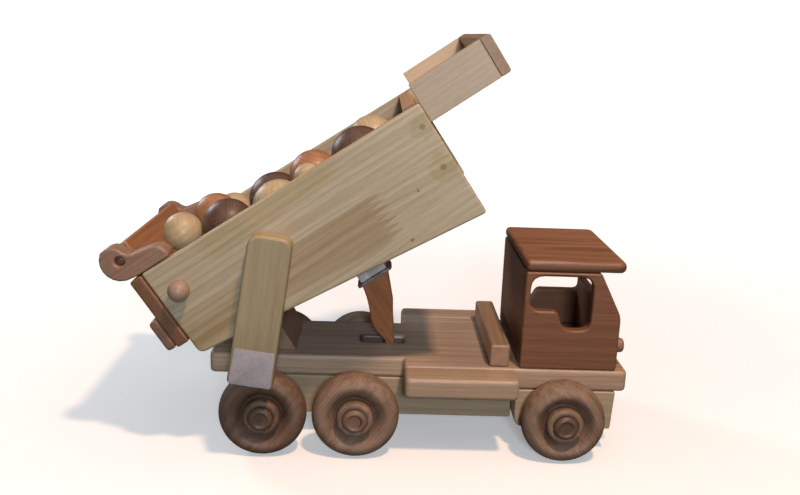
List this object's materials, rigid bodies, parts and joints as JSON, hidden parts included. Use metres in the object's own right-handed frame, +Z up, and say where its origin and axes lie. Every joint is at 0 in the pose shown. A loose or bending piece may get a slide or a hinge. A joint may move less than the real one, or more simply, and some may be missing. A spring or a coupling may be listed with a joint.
{
  "type": "toy dump truck",
  "caption": "Wooden toy dump truck with a tipping bed shown raised, a hung tailgate, an open-window cab, pegged wooden wheels and a load of wooden balls.",
  "frame": {"origin": "on the ground, under the middle of the overall length and width with the bed raised", "axes": "+X to the front of the truck, +Y to its left side, +Z up"},
  "size_m": [0.5134, 0.2726, 0.4149],
  "materials": {
    "pine": "clear satin lacquer over pale pine",
    "deck_pine": "clear satin lacquer over pine boards",
    "beech": "clear satin lacquer over warm beech",
    "cab_wood": "satin lacquer over red-brown hardwood",
    "cherry": "satin lacquer over cherry",
    "walnut": "gloss lacquer over walnut",
    "maple": "satin lacquer over maple",
    "steel": "bare sheet steel",
    "nylon": "pale spacer block"
  },
  "bodies": {
    "chassis": {"deck_board": "deck_pine", "rail_right": "pine", "rail_left": "pine", "front_axle_block": "deck_pine", "step_right": "pine", "step_left": "pine", "head_block": "pine", "pivot_beam": "beech", "pivot_pin_right": "maple", "pivot_pin_left": "maple", "axle_peg_rear_right": "beech", "axle_peg_rear_left": "beech", "axle_peg_middle_right": "beech", "axle_peg_middle_left": "beech", "axle_peg_front_right": "beech", "axle_peg_front_left": "beech", "cab_side_right": "cab_wood", "cab_side_left": "cab_wood", "cab_back": "cab_wood", "cab_front": "cab_wood", "cab_roof": "cab_wood", "headlight_right": "beech", "headlight_left": "beech"},
    "tipping_bed": {"bed_side_right": "pine", "bed_side_left": "pine", "bed_floor": "pine", "bed_front": "pine", "visor_side_right": "pine", "visor_side_left": "pine", "visor_floor": "pine", "visor_end": "pine", "arm_right": "pine", "arm_left": "pine", "ear_right": "cherry", "ear_left": "cherry", "prop_block": "nylon", "prop_plate": "steel", "prop_tusk": "cherry"},
    "tailgate": {"tailgate_board": "cherry", "tailgate_batten": "cherry", "tailgate_pin_right": "beech", "tailgate_pin_left": "beech"},
    "ball_load": {"ball_1_maple": "maple", "ball_2_cherry": "cherry", "ball_3_walnut": "walnut", "ball_4_maple": "maple", "ball_5_walnut": "walnut", "ball_6_maple": "maple", "ball_7_cherry": "cherry", "ball_8_maple": "maple", "ball_9_walnut": "walnut", "ball_10_maple": "maple"},
    "side_peg_right": {"side_peg_right": "beech"},
    "side_peg_left": {"side_peg_left": "beech"},
    "wheel_rear_right": {"wheel_rear_right": "beech"},
    "wheel_rear_left": {"wheel_rear_left": "beech"},
    "wheel_middle_right": {"wheel_middle_right": "beech"},
    "wheel_middle_left": {"wheel_middle_left": "beech"},
    "wheel_front_right": {"wheel_front_right": "beech"},
    "wheel_front_left": {"wheel_front_left": "beech"}
  },
  "joints": [
    {"name": "bed_tilt", "type": "hinge", "parent": "chassis", "child": "tipping_bed", "pos_m": [-0.10926, 0, 0.106], "axis": [0, 1, 0], "range_deg": [0, 34.5]},
    {"name": "tailgate_swing", "type": "hinge", "parent": "tipping_bed", "child": "tailgate", "pos_m": [-0.23745, 0, 0.1993], "axis": [0, 1, 0], "range_deg": [0, 100]},
    {"name": "ball_load_lift", "type": "slide", "parent": "tipping_bed", "child": "ball_load", "axis": [-0.5664, 0, 0.8241], "range_m": [0, 0.08]},
    {"name": "side_peg_right_pull", "type": "slide", "parent": "tipping_bed", "child": "side_peg_right", "axis": [0, -1, 0], "range_m": [0, 0.04]},
    {"name": "side_peg_left_pull", "type": "slide", "parent": "tipping_bed", "child": "side_peg_left", "axis": [0, 1, 0], "range_m": [0, 0.04]},
    {"name": "wheel_rear_right_spin", "type": "hinge", "parent": "chassis", "child": "wheel_rear_right", "pos_m": [-0.10926, 0, 0.0435], "axis": [0, 1, 0], "continuous": true},
    {"name": "wheel_rear_left_spin", "type": "hinge", "parent": "chassis", "child": "wheel_rear_left", "pos_m": [-0.10926, 0, 0.0435], "axis": [0, 1, 0], "continuous": true},
    {"name": "wheel_middle_right_spin", "type": "hinge", "parent": "chassis", "child": "wheel_middle_right", "pos_m": [-0.01726, 0, 0.0435], "axis": [0, 1, 0], "continuous": true},
    {"name": "wheel_middle_left_spin", "type": "hinge", "parent": "chassis", "child": "wheel_middle_left", "pos_m": [-0.01726, 0, 0.0435], "axis": [0, 1, 0], "continuous": true},
    {"name": "wheel_front_right_spin", "type": "hinge", "parent": "chassis", "child": "wheel_front_right", "pos_m": [0.19074, 0, 0.042], "axis": [0, 1, 0], "continuous": true},
    {"name": "wheel_front_left_spin", "type": "hinge", "parent": "chassis", "child": "wheel_front_left", "pos_m": [0.19074, 0, 0.042], "axis": [0, 1, 0], "continuous": true}
  ]
}
